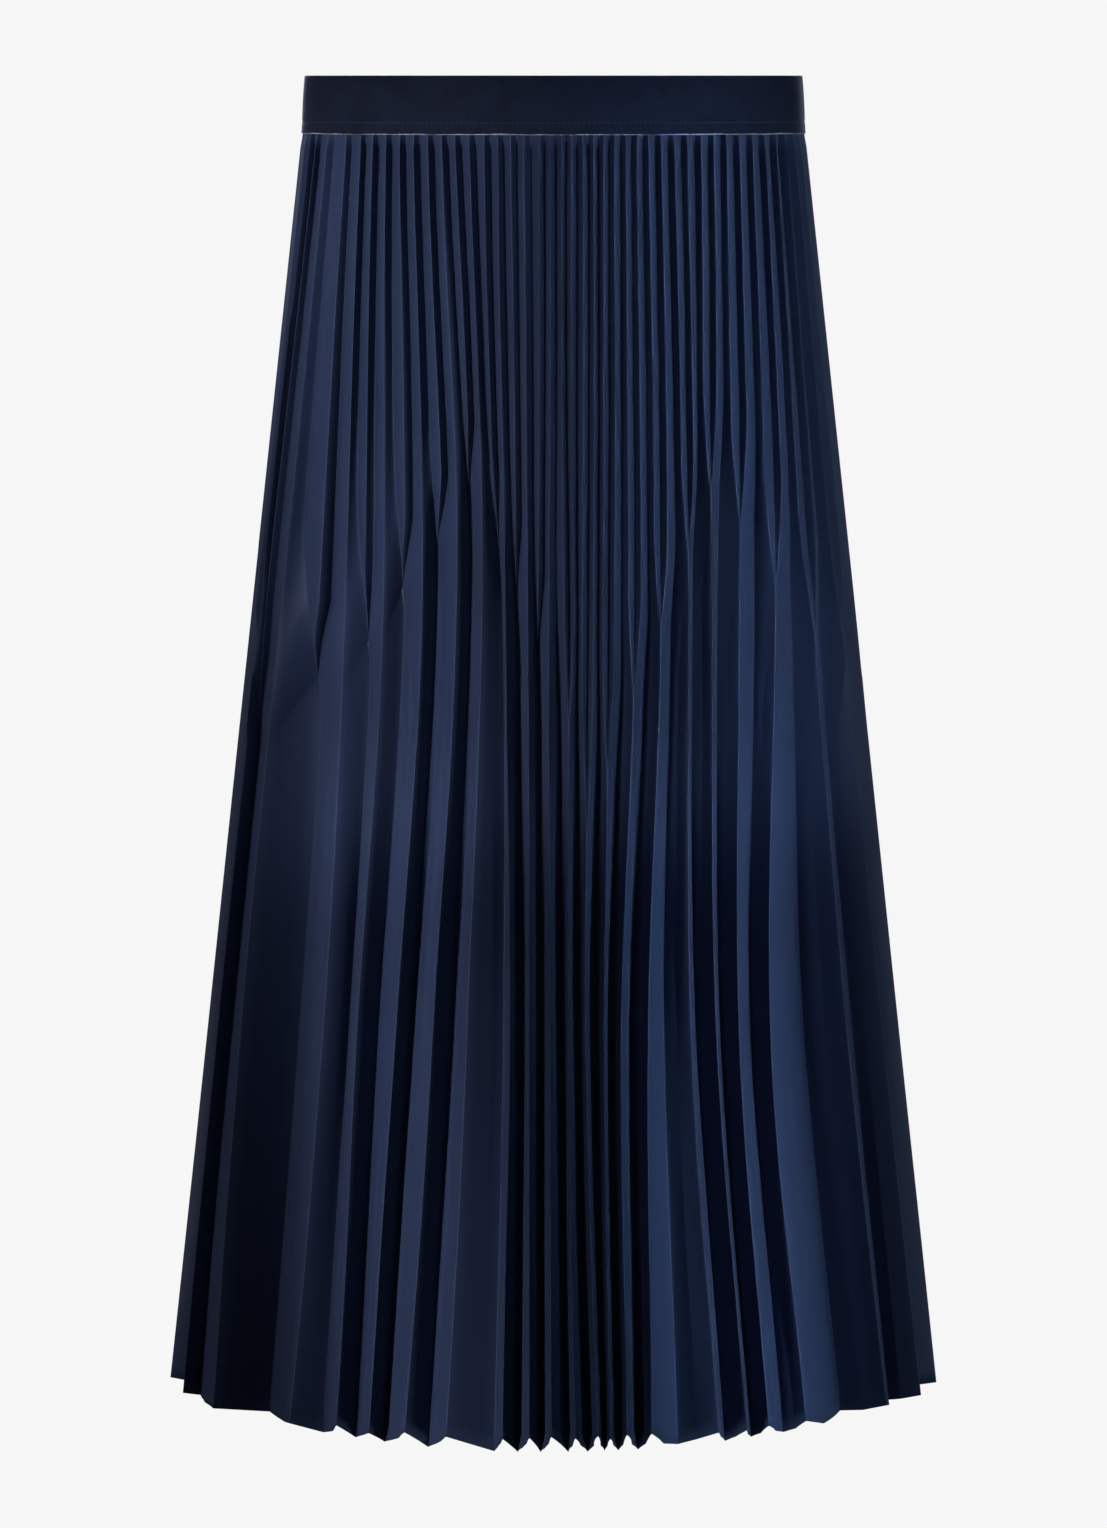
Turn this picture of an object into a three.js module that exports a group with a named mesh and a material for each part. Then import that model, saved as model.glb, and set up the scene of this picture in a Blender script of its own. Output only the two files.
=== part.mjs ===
// A pleated midi skirt, worn and hollow: an elastic waistband over a front and a back panel of
// knife-edged accordion pleats. Narrow pleats leave the waist, and each pair of them joins into
// one wide pleat on its way to the hem; the joins run in a zigzag round the skirt.
// Millimetres, +Z up, the front faces -Y, +X is the skirt's left side as it is worn.
// The origin is the centre of the waist, half way up the waistband.

import * as THREE from 'three';

// ---- driving dimensions -------------------------------------------------------------------

const BAND_HEIGHT = 32;
const BAND_WALL = 2;
const BAND_EDGE_ROUND = 0.5;
const BAND_TOP_NARROWING = 0.986; // the band's top edge, as a share of its bottom edge
const BAND_STATIONS = 92;

const WAIST_HALF_WIDTH = 141;
const WAIST_HALF_DEPTH = 91;
const HEM_HALF_WIDTH = 221;
const HEM_HALF_DEPTH = 134;
const SECTION_POWER = 2.2; // 2 is an ellipse, more is squarer

const CLOTH_LENGTH = 716; // waist seam to hem, along a pleat
const CLOTH_WALL = 1.1;
const SEAM_GAP = 0.3;

const NARROW_FACE = 12; // cloth between two neighbouring creases of the narrow pleats
const SEAM_PLEAT_DEPTH = 6; // the pleats are sewn down half flat under the band
const RELEASE_LENGTH = 9; // and open fully over this length
const LEAST_DEPTH_SHARE = 0.72; // the least depth of a pleat, as a share of its pitch
const VALLEY_SHIFT = [2.2, 0.8]; // how far above and below a join the valleys move, in V heights
const CREASE_SPLIT = 0.9; // how far apart two joining creases end
const TIP_SHARES = [0.07, 0.14]; // where creases that die out in a valley end, along its face
const LEAST_SHARES = [0.18, 0.5]; // of a narrow pair's first creases, from the valley to its crest
const NARROW_LEAN = 0.08; // how far the front's narrow pleats lean outwards, of their pitch
const LEAN_STEEPNESS = 40; // of the change of that lean across the centre front
const LEFT_TURN_POWER = 40; // the higher, the nearer the -X side seam the folds begin to turn
const RIGHT_TURN_POWER = 14; // and the same for the +X side seam
const INNER_FOLD_DROP = 13; // how much lower the inner folds hang at the front hem
const FRONTNESS_POWER = 2; // the higher, the sooner that ends towards the side seams
const HEM_ZONE = 0.2; // the share of the length over which they come to do so

// The front's pleats, from its -X side to its +X side. A place across the front is a share of
// the half width, from -1 to 1.
//   drop    the join's distance below the waist seam
//   open    the height of the V in which the two narrow pleats join
//   waist   the middle of the narrow pair, across the front at the waist
//   join, knee, hem   the crest of the wide pleat, across the front at those three heights
//   valley  where the fold between this crest and the next one lies, as a share of the way
//   into    "valley": the left narrow pleat dies out in the valley left of the wide crest
//           "crest": the two narrow crests meet in the wide crest
const FRONT_PLEATS = [
  { drop: 339, open: 50, waist: -0.905, join: -0.89, knee: -0.893, hem: -0.867, valley: 0.72, into: 'valley' },
  { drop: 303, open: 46, waist: -0.78, join: -0.666, knee: -0.65, hem: -0.666, valley: 0.7, into: 'valley' },
  { drop: 278, open: 40, waist: -0.676, join: -0.546, knee: -0.552, hem: -0.546, valley: 0.52, into: 'valley' },
  { drop: 248, open: 40, waist: -0.568, join: -0.424, knee: -0.445, hem: -0.46, valley: 0.4, into: 'valley' },
  { drop: 224, open: 40, waist: -0.46, join: -0.319, knee: -0.335, hem: -0.37, valley: 0.54, into: 'valley' },
  { drop: 199, open: 44, waist: -0.354, join: -0.238, knee: -0.243, hem: -0.27, valley: 0.84, into: 'valley' },
  { drop: 226, open: 46, waist: -0.242, join: -0.16, knee: -0.124, hem: -0.128, valley: 0.55, into: 'valley' },
  { drop: 254, open: 44, waist: -0.14, join: -0.083, knee: -0.069, hem: -0.06, valley: 0.52, into: 'valley' },
  { drop: 287, open: 48, waist: -0.037, join: -0.015, knee: -0.01, hem: -0.003, valley: 0.7, into: 'valley' },
  { drop: 319, open: 56, waist: 0.05, join: 0.045, knee: 0.04, hem: 0.055, valley: 0.58, into: 'crest' },
  { drop: 380, open: 70, waist: 0.133, join: 0.1, knee: 0.09, hem: 0.11, valley: 0.5, into: 'crest' },
  { drop: 347, open: 62, waist: 0.215, join: 0.165, knee: 0.14, hem: 0.145, valley: 0.46, into: 'crest' },
  { drop: 303, open: 52, waist: 0.3, join: 0.25, knee: 0.19, hem: 0.185, valley: 0.48, into: 'crest' },
  { drop: 265, open: 46, waist: 0.39, join: 0.345, knee: 0.266, hem: 0.245, valley: 0.38, into: 'crest' },
  { drop: 226, open: 48, waist: 0.49, join: 0.444, knee: 0.387, hem: 0.418, valley: 0.2, into: 'crest' },
  { drop: 193, open: 52, waist: 0.595, join: 0.53, knee: 0.46, hem: 0.487, valley: 0.24, into: 'crest' },
  { drop: 213, open: 56, waist: 0.695, join: 0.62, knee: 0.525, hem: 0.54, valley: 0.44, into: 'crest' },
  { drop: 248, open: 60, waist: 0.797, join: 0.725, knee: 0.61, hem: 0.635, valley: 0.44, into: 'crest' },
  { drop: 276, open: 66, waist: 0.89, join: 0.845, knee: 0.835, hem: 0.846, valley: 0.3, into: 'crest' },
];
const SIDE_PLEATS = 2; // on each side, between the table's pleats and the side seam
const BACK_PLEATS = 23;
const BACK_SWAY = 0.12; // how far the back's crests sway, as a share of their pitch
const BACK_VALLEY_SWAY = 0.16; // and its valleys, as a share of the way between two crests
const BACK_SWAY_STEP = 1.9; // the phase of those waves from pleat to pleat, in radians
const BACK_VALLEY_STEP = 2.3;
const BACK_SWAY_PHASES = { join: 0, knee: 0.8, hem: 1.7 };
const KNEE_DOWN = 485; // the height of the table's knee, below the waist seam

// The zigzag of joins where no table gives it: the share of the whole round, from the -X side
// seam over the front, and the drop at each of its corners.
const JOIN_ZIGZAG = [
  { round: -0.02, drop: 250 },
  { round: 0.05, drop: 330 },
  { round: 0.45, drop: 280 },
  { round: 0.5, drop: 320 },
  { round: 0.61, drop: 200 },
  { round: 0.74, drop: 360 },
  { round: 0.87, drop: 205 },
  { round: 0.98, drop: 250 },
  { round: 1.05, drop: 330 },
];
const PLAIN_OPEN = 56;
const SHARPEST_MITRE = 0.16; // the sine of the sharpest half fold that the wall is mitred for

// Rows of the cloth mesh between the named heights of a pleat.
const NARROW_ROWS = 2;
const WIDE_ROWS = 6;

const NAVY_SATIN = { color: 0x1c2b4d, roughness: 0.42, metalness: 0 };
const NAVY_VELVET = { color: 0x161e36, roughness: 0.9, metalness: 0 };

// ---- the section, a superellipse ------------------------------------------------------------

const RING_STEPS = 1440;
const TOP_Z = -BAND_HEIGHT / 2 - SEAM_GAP;

const lerp = (a, b, t) => a + (b - a) * t;
const clamp = (value) => Math.min(Math.max(value, 0), 1);
const signedPower = (value, power) => Math.sign(value) * Math.abs(value) ** power;

function smoothStep(low, high, value) {
  const t = clamp((value - low) / (high - low));
  return t * t * (3 - 2 * t);
}

// Angle 0 is the -X side seam, a quarter turn the centre front, a half turn the +X side seam.
function sectionPoint(angle, halfWidth, halfDepth) {
  const x = -signedPower(Math.cos(angle), 2 / SECTION_POWER) * halfWidth;
  const y = -signedPower(Math.sin(angle), 2 / SECTION_POWER) * halfDepth;
  return new THREE.Vector2(x, y);
}

function sectionNormal(point, halfWidth, halfDepth) {
  const nx = signedPower(point.x / halfWidth, SECTION_POWER - 1) / halfWidth;
  const ny = signedPower(point.y / halfDepth, SECTION_POWER - 1) / halfDepth;
  return new THREE.Vector2(nx, ny).normalize();
}

// Share of the round against angle, measured half way down the skirt.
function measureRing() {
  const halfWidth = (WAIST_HALF_WIDTH + HEM_HALF_WIDTH) / 2;
  const halfDepth = (WAIST_HALF_DEPTH + HEM_HALF_DEPTH) / 2;
  const lengths = [0];
  let previous = sectionPoint(0, halfWidth, halfDepth);
  for (let step = 1; step <= RING_STEPS; step++) {
    const point = sectionPoint((step / RING_STEPS) * 2 * Math.PI, halfWidth, halfDepth);
    lengths.push(lengths[step - 1] + point.distanceTo(previous));
    previous = point;
  }
  return lengths.map((length) => length / lengths[RING_STEPS]);
}

const RING = measureRing();

function angleAt(round) {
  const turns = Math.floor(round);
  const share = round - turns;
  let low = 0;
  let high = RING_STEPS;
  while (high - low > 1) {
    const middle = (low + high) >> 1;
    if (RING[middle] <= share) low = middle;
    else high = middle;
  }
  const within = (share - RING[low]) / (RING[high] - RING[low]);
  return ((low + within) / RING_STEPS + turns) * 2 * Math.PI;
}

// The share of the round of a place across the front.
function roundAt(across) {
  const angle = Math.acos(-signedPower(across, SECTION_POWER / 2));
  const step = (angle / (2 * Math.PI)) * RING_STEPS;
  const low = Math.floor(step);
  return lerp(RING[low], RING[low + 1], step - low);
}

// ---- the pleats -----------------------------------------------------------------------------

const HEIGHTS = ['waist', 'join', 'knee', 'hem'];

function zigzagDrop(round) {
  const next = JOIN_ZIGZAG.findIndex((corner) => corner.round > round);
  const a = JOIN_ZIGZAG[next - 1];
  const b = JOIN_ZIGZAG[next];
  return lerp(a.drop, b.drop, (round - a.round) / (b.round - a.round));
}

function plainPleat(crest, into) {
  return {
    drop: zigzagDrop(crest.join),
    open: PLAIN_OPEN,
    crest,
    valley: 0.5,
    into,
  };
}

// Evenly spaced crests between a table pleat and the side seam, which is half a pitch further.
function sidePleats(fromCrest, seam, into) {
  const pleats = [];
  for (let i = 1; i <= SIDE_PLEATS; i++) {
    const share = i / (SIDE_PLEATS + 0.5);
    const crest = {};
    for (const height of HEIGHTS) crest[height] = lerp(fromCrest[height], seam, share);
    pleats.push(plainPleat(crest, into));
  }
  return pleats;
}

function frontPleats() {
  const table = FRONT_PLEATS.map(({ drop, open, waist, join, knee, hem, valley, into }) => ({
    drop,
    open,
    crest: { waist: roundAt(waist), join: roundAt(join), knee: roundAt(knee), hem: roundAt(hem) },
    valley,
    into,
  }));
  const left = sidePleats(table[0].crest, 0, 'valley').reverse();
  const right = sidePleats(table[table.length - 1].crest, 0.5, 'crest');
  return [...left, ...table, ...right];
}

// The back's pleats sway a little about their even places, by a slow wave.
function backPleats() {
  const pitch = 0.5 / BACK_PLEATS;
  const pleats = [];
  for (let i = 0; i < BACK_PLEATS; i++) {
    const even = 0.5 + pitch * (i + 0.5);
    const crest = { waist: even };
    for (const [height, phase] of Object.entries(BACK_SWAY_PHASES)) {
      crest[height] = even + pitch * BACK_SWAY * Math.sin(i * BACK_SWAY_STEP + phase);
    }
    const pleat = plainPleat(crest, i < BACK_PLEATS / 2 ? 'valley' : 'crest');
    pleat.valley = 0.5 + BACK_VALLEY_SWAY * Math.sin(i * BACK_VALLEY_STEP);
    pleats.push(pleat);
  }
  return pleats;
}

// A panel's pleats between its two side seams. In the tables a pleat's waist place is the middle
// of the narrow pair. Where a pair dies out in a valley, the pair's right crest is the one that
// goes on as the wide pleat's, a quarter pitch to the right.
function makePanel(pleats, start, end) {
  const waists = pleats.map(({ crest }) => crest.waist);
  const spread = [2 * start - waists[0], ...waists, 2 * end - waists[waists.length - 1]];
  const settled = pleats.map((pleat, i) => {
    const pitch = (spread[i + 2] - spread[i]) / 2;
    const waist = pleat.crest.waist + (pleat.into === 'valley' ? pitch / 4 : 0);
    return { ...pleat, crest: { ...pleat.crest, waist } };
  });
  return { pleats: settled, start, end };
}

// The heights of one pleat's rows, each with the state of its shape: sewn down, merged from two
// narrow pleats into one wide pleat, and the tip where they have just merged.
function pleatRows({ drop, open }) {
  const rows = [{ down: 0, sewn: true }];
  const openStart = drop - open;
  for (let i = 0; i <= NARROW_ROWS; i++) {
    rows.push({ down: lerp(RELEASE_LENGTH, openStart, i / NARROW_ROWS) });
  }
  rows.push({ down: drop, merged: true, tip: true });
  for (let i = 1; i <= WIDE_ROWS; i++) {
    rows.push({ down: lerp(drop, CLOTH_LENGTH, i / WIDE_ROWS), merged: true });
  }
  return rows;
}

// The crest that goes on as the wide pleat's, by cubic steps through its four known places.
function crestAt({ crest, drop }, down) {
  const heights = [0, drop, KNEE_DOWN, CLOTH_LENGTH];
  const places = HEIGHTS.map((height) => crest[height]);
  const slope = (i) => (places[i + 1] - places[i]) / (heights[i + 1] - heights[i]);
  const tangents = [slope(0), (slope(0) + slope(1)) / 2, (slope(1) + slope(2)) / 2, slope(2)];
  const i = [drop, KNEE_DOWN].filter((height) => down > height).length;
  const span = heights[i + 1] - heights[i];
  const t = (down - heights[i]) / span;
  return (
    (2 * t ** 3 - 3 * t ** 2 + 1) * places[i] +
    (t ** 3 - 2 * t ** 2 + t) * span * tangents[i] +
    (3 * t ** 2 - 2 * t ** 3) * places[i + 1] +
    (t ** 3 - t ** 2) * span * tangents[i + 1]
  );
}

// The crest of a pleat of the panel, or its neighbour's mirror image past a side seam.
function crestNear({ pleats, start, end }, index, down) {
  if (index < 0) return 2 * start - crestAt(pleats[0], down);
  if (index >= pleats.length) return 2 * end - crestAt(pleats[pleats.length - 1], down);
  return crestAt(pleats[index], down);
}

function pitchAt(panel, index, down) {
  return (crestNear(panel, index + 1, down) - crestNear(panel, index - 1, down)) / 2;
}

// The middle of a narrow pair.
function middleAt(panel, index, down) {
  const pleat = panel.pleats[index];
  return crestAt(pleat, down) - (pleat.into === 'valley' ? pitchAt(panel, index, down) / 4 : 0);
}

// How far two narrow pleats have merged, from 0 to 1.
function mergedAt({ drop, open }, down) {
  return clamp((down - drop + open) / open);
}

// How far a valley has moved from its narrow place to its wide one, over a greater height.
function shiftAt({ drop, open }, down) {
  const [above, below] = VALLEY_SHIFT;
  return smoothStep(drop - above * open, drop + below * open, down);
}

function leanAt({ start }, round) {
  return start < 0.5 ? NARROW_LEAN * Math.tanh((round - 0.25) * LEAN_STEEPNESS) : 0;
}

// The valley left of each pleat, and after the last one, as a share of the round.
function valleyAt(panel, index, down) {
  if (index === 0) return panel.start;
  if (index === panel.pleats.length) return panel.end;
  const before = panel.pleats[index - 1];
  const crestBefore = crestAt(before, down);
  let left = crestBefore;
  if (before.into === 'crest') {
    const last = middleAt(panel, index - 1, down) + pitchAt(panel, index - 1, down) / 4;
    left = lerp(last, crestBefore, mergedAt(before, down));
  }
  const right = middleAt(panel, index, down) - pitchAt(panel, index, down) / 4;
  const narrow = lerp(left, right, 0.5 + leanAt(panel, crestBefore));
  const wide = lerp(left, crestAt(panel.pleats[index], down), before.valley);
  return lerp(narrow, wide, shiftAt(panel.pleats[index], down));
}

// Where a point of the outer envelope of crests lies, for a share of the round and a distance
// down the cloth from the waist seam, and which way its folds point. At the front they run
// straight back, and turn with the section near the side seams.
function envelope(round, down) {
  const angle = angleAt(round);
  const waist = sectionPoint(angle, WAIST_HALF_WIDTH, WAIST_HALF_DEPTH);
  const hem = sectionPoint(angle, HEM_HALF_WIDTH, HEM_HALF_DEPTH);
  const height = Math.sqrt(CLOTH_LENGTH ** 2 - waist.distanceToSquared(hem));
  const share = down / CLOTH_LENGTH;
  const point = waist.clone().lerp(hem, share);
  const halfWidth = lerp(WAIST_HALF_WIDTH, HEM_HALF_WIDTH, share);
  const halfDepth = lerp(WAIST_HALF_DEPTH, HEM_HALF_DEPTH, share);
  const normal = sectionNormal(point, halfWidth, halfDepth);
  const turnPower = point.x < 0 ? LEFT_TURN_POWER : RIGHT_TURN_POWER;
  if (point.y < 0) normal.x *= Math.abs(point.x / halfWidth) ** turnPower;
  return { point, normal: normal.normalize(), z: TOP_Z - height * share };
}

// How deep a pleat is when its cloth, of a given width, spans a given pitch.
function foldDepth(clothWidth, pitch) {
  const square = (clothWidth / 2) ** 2 - (pitch / 2) ** 2;
  return Math.sqrt(Math.max(square, (pitch * LEAST_DEPTH_SHARE) ** 2));
}

function perimeter(halfWidth, halfDepth) {
  let length = 0;
  let previous = sectionPoint(0, halfWidth, halfDepth);
  for (let step = 1; step <= RING_STEPS; step++) {
    const point = sectionPoint((step / RING_STEPS) * 2 * Math.PI, halfWidth, halfDepth);
    length += point.distanceTo(previous);
    previous = point;
  }
  return length;
}

const WAIST_ROUND = perimeter(WAIST_HALF_WIDTH, WAIST_HALF_DEPTH);
const HEM_ROUND = perimeter(HEM_HALF_WIDTH, HEM_HALF_DEPTH);

function perimeterAt(down) {
  return lerp(WAIST_ROUND, HEM_ROUND, down / CLOTH_LENGTH);
}

// The depth of a pair's inner fold, and of the valley left of a pleat.
function depthsAt(panel, index, down) {
  const { pleats } = panel;
  const a = pleats[Math.max(index - 1, 0)];
  const b = pleats[Math.min(index, pleats.length - 1)];
  let span = crestNear(panel, index, down) - crestNear(panel, index - 1, down);
  if (index === pleats.length) span = pitchAt(panel, index - 1, down);
  if (index === 0) span = pitchAt(panel, 0, down);
  span *= perimeterAt(down);
  const narrow = foldDepth(2 * NARROW_FACE, span / 2);
  const wide = foldDepth(4 * NARROW_FACE, span);
  const own = mergedAt(b, down);
  const merged = b.into === 'valley' ? own : (mergedAt(a, down) + own) / 2;
  return { narrow, valley: lerp(narrow, wide, merged) };
}

// The three creases right of a pleat's valley in one row. Each is a share of the round, an inset
// from the envelope and the depth of the valley beside it.
function pleatCreases(panel, index, row) {
  const { down } = row;
  const pleat = panel.pleats[index];
  const crest = crestAt(pleat, down);
  const { narrow, valley } = depthsAt(panel, index, down);
  const crease = (round, inset, depth = valley) => ({ round, inset, depth });
  const left = valleyAt(panel, index, down);
  if (!row.merged) {
    const pitch = pitchAt(panel, index, down);
    const middle = middleAt(panel, index, down);
    const first = Math.max(middle - pitch / 4, lerp(left, crest, LEAST_SHARES[0]));
    const inner = Math.max(
      middle + (leanAt(panel, crest) * pitch) / 2,
      lerp(left, crest, LEAST_SHARES[1]),
    );
    return [crease(first, 0), crease(inner, narrow), crease(middle + pitch / 4, 0)];
  }
  if (pleat.into === 'valley') {
    const shares = row.tip ? TIP_SHARES : [1 / 3, 2 / 3];
    const face = shares.map((share) => crease(lerp(left, crest, share), valley * (1 - share)));
    return [...face, crease(crest, 0)];
  }
  if (row.tip) {
    const split = CREASE_SPLIT / perimeterAt(down);
    return [crease(crest - split, 0), crease(crest, CREASE_SPLIT / 2), crease(crest + split, 0)];
  }
  const right = valleyAt(panel, index + 1, down);
  const next = depthsAt(panel, index + 1, down).valley;
  return [
    crease(lerp(left, crest, 0.5), valley / 2),
    crease(crest, 0),
    crease(lerp(crest, right, 0.5), next / 2, next),
  ];
}

// How much lower an inner fold hangs at the hem: only at the front, and less towards the sides.
function innerFoldDrop(round, down, inset, depth) {
  const frontness = round < 0.5 ? Math.sin(2 * Math.PI * round) ** FRONTNESS_POWER : 0;
  const nearHem = clamp((down / CLOTH_LENGTH - 1 + HEM_ZONE) / HEM_ZONE);
  return (INNER_FOLD_DROP * frontness * nearHem * inset) / depth;
}

// ---- walls ----------------------------------------------------------------------------------

// The wall's other side, in plan: each corner moves square to its two faces by the wall.
function offsetCorner(previous, corner, next, wall) {
  const normalOf = (a, b) => new THREE.Vector2(a.y - b.y, b.x - a.x).normalize();
  const before = previous ? normalOf(previous, corner) : normalOf(corner, next);
  const after = next ? normalOf(corner, next) : before;
  const bisector = before.clone().add(after).normalize();
  const mitre = wall / Math.max(bisector.dot(before), SHARPEST_MITRE);
  return corner.clone().addScaledVector(bisector, mitre);
}

// At a side seam the wall is cut square to the seam, so it is offset along X only.
function offsetAtSeam(corner, neighbour, wall) {
  const face = neighbour.clone().sub(corner).normalize();
  const x = corner.x - (Math.sign(corner.x) * wall) / Math.abs(face.y);
  return new THREE.Vector2(x, corner.y);
}

// A closed solid between two grids of points, rows by columns, joined along all four edges.
function shellGeometry(outer, inner) {
  const rows = outer.length;
  const columns = outer[0].length;
  const points = [...outer.flat(), ...inner.flat()];
  const at = (side, row, column) => side * rows * columns + row * columns + column;
  const index = [];
  const quad = (a, b, c, d) => index.push(a, b, c, a, c, d);
  for (let r = 0; r < rows - 1; r++) {
    for (let c = 0; c < columns - 1; c++) {
      quad(at(0, r, c), at(0, r + 1, c), at(0, r + 1, c + 1), at(0, r, c + 1));
      quad(at(1, r, c), at(1, r, c + 1), at(1, r + 1, c + 1), at(1, r + 1, c));
    }
  }
  const last = rows - 1;
  for (let c = 0; c < columns - 1; c++) {
    quad(at(0, 0, c), at(0, 0, c + 1), at(1, 0, c + 1), at(1, 0, c));
    quad(at(0, last, c), at(1, last, c), at(1, last, c + 1), at(0, last, c + 1));
  }
  const end = columns - 1;
  for (let r = 0; r < rows - 1; r++) {
    quad(at(0, r, 0), at(1, r, 0), at(1, r + 1, 0), at(0, r + 1, 0));
    quad(at(0, r, end), at(0, r + 1, end), at(1, r + 1, end), at(1, r, end));
  }
  const geometry = new THREE.BufferGeometry();
  const positions = points.flatMap((point) => [point.x, point.y, point.z]);
  geometry.setAttribute('position', new THREE.Float32BufferAttribute(positions, 3));
  geometry.setIndex(index);
  geometry.computeVertexNormals();
  return geometry;
}

// One row of a panel: the outer corners from one side seam to the other.
function panelRow(panel, rowIndex) {
  const { pleats } = panel;
  const heights = pleats.map((pleat) => pleatRows(pleat)[rowIndex]);
  const corners = [];
  const place = ({ round, inset, depth }, { down, sewn }) => {
    const { point, normal, z } = envelope(round, down);
    const fold = sewn ? (inset / depth) * SEAM_PLEAT_DEPTH : inset;
    const plan = point.addScaledVector(normal, -fold);
    corners.push(new THREE.Vector3(plan.x, plan.y, z - innerFoldDrop(round, down, inset, depth)));
  };
  const placeValley = (index, row) => {
    const depth = depthsAt(panel, index, row.down).valley;
    place({ round: valleyAt(panel, index, row.down), inset: depth, depth }, row);
  };
  pleats.forEach((pleat, i) => {
    const row = heights[i];
    const shared = i > 0 && pleat.into === 'crest';
    placeValley(i, shared ? { ...row, down: lerp(heights[i - 1].down, row.down, 0.5) } : row);
    pleatCreases(panel, i, row).forEach((crease) => place(crease, row));
  });
  placeValley(pleats.length, heights[pleats.length - 1]);
  return corners;
}

function panelGeometry(panel, seamY) {
  const rowCount = pleatRows(panel.pleats[0]).length;
  const outer = [];
  const inner = [];
  for (let r = 0; r < rowCount; r++) {
    const row = panelRow(panel, r);
    row[0].y = seamY;
    row[row.length - 1].y = seamY;
    const plan = row.map((corner) => new THREE.Vector2(corner.x, corner.y));
    outer.push(row);
    inner.push(
      row.map((corner, i) => {
        const atSeam = i === 0 || i === row.length - 1;
        const moved = atSeam
          ? offsetAtSeam(plan[i], plan[i === 0 ? 1 : i - 1], CLOTH_WALL)
          : offsetCorner(plan[i - 1], plan[i], plan[i + 1], CLOTH_WALL);
        return new THREE.Vector3(moved.x, moved.y, corner.z);
      }),
    );
  }
  return shellGeometry(outer, inner);
}

// ---- the waistband --------------------------------------------------------------------------

// A closed ring whose cross-section is an upright strip with eased edges.
function waistbandGeometry() {
  const half = BAND_HEIGHT / 2;
  const round = BAND_EDGE_ROUND;
  const profile = [
    { inset: 0, z: -half + round },
    { inset: 0, z: half - round },
    { inset: round, z: half },
    { inset: BAND_WALL - round, z: half },
    { inset: BAND_WALL, z: half - round },
    { inset: BAND_WALL, z: -half + round },
    { inset: BAND_WALL - round, z: -half },
    { inset: round, z: -half },
  ];
  const positions = [];
  const index = [];
  for (let i = 0; i < BAND_STATIONS; i++) {
    const angle = angleAt(i / BAND_STATIONS);
    for (const { inset, z } of profile) {
      const size = lerp(1, BAND_TOP_NARROWING, (z + half) / BAND_HEIGHT);
      const halfWidth = WAIST_HALF_WIDTH * size;
      const halfDepth = WAIST_HALF_DEPTH * size;
      const point = sectionPoint(angle, halfWidth, halfDepth);
      point.addScaledVector(sectionNormal(point, halfWidth, halfDepth), -inset);
      positions.push(point.x, point.y, z);
    }
    for (let j = 0; j < profile.length; j++) {
      const next = (i + 1) % BAND_STATIONS;
      const up = (j + 1) % profile.length;
      const a = i * profile.length + j;
      const b = next * profile.length + j;
      const c = next * profile.length + up;
      const d = i * profile.length + up;
      index.push(a, b, c, a, c, d);
    }
  }
  const geometry = new THREE.BufferGeometry();
  geometry.setAttribute('position', new THREE.Float32BufferAttribute(positions, 3));
  geometry.setIndex(index);
  geometry.computeVertexNormals();
  return geometry;
}

// ---- the skirt ------------------------------------------------------------------------------

function piece(name, geometry, look) {
  const mesh = new THREE.Mesh(geometry, new THREE.MeshStandardMaterial(look));
  mesh.name = name;
  return mesh;
}

const skirt = new THREE.Group();
skirt.add(piece('waistband', waistbandGeometry(), NAVY_VELVET));
const front = makePanel(frontPleats(), 0, 0.5);
const back = makePanel(backPleats(), 0.5, 1);
skirt.add(piece('skirt_front', panelGeometry(front, -SEAM_GAP / 2), NAVY_SATIN));
skirt.add(piece('skirt_back', panelGeometry(back, SEAM_GAP / 2), NAVY_SATIN));

export default skirt;
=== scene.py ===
# A pleated midi skirt in navy satin twill under a velvet-faced elastic waistband.
# The pleats repeat the CAD's own table and tracks at a finer resolution.
# The geometry is worked out in millimetres and written to the meshes in metres.
import math

import bpy
import numpy as np
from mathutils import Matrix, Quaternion, Vector


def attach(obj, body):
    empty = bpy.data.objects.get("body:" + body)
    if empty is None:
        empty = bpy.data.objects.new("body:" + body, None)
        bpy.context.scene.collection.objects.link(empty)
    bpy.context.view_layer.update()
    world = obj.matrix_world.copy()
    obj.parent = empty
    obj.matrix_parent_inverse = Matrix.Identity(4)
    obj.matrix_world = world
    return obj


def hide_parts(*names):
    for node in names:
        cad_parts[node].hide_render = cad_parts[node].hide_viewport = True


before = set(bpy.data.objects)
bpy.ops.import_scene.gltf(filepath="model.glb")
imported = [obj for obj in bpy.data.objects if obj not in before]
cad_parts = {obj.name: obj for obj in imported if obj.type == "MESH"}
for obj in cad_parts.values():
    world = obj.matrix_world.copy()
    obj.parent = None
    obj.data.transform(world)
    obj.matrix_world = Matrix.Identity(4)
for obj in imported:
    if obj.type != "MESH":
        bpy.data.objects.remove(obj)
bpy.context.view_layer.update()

MM = 0.001

# ---- sizes shared with the CAD ------------------------------------------------------------

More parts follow.
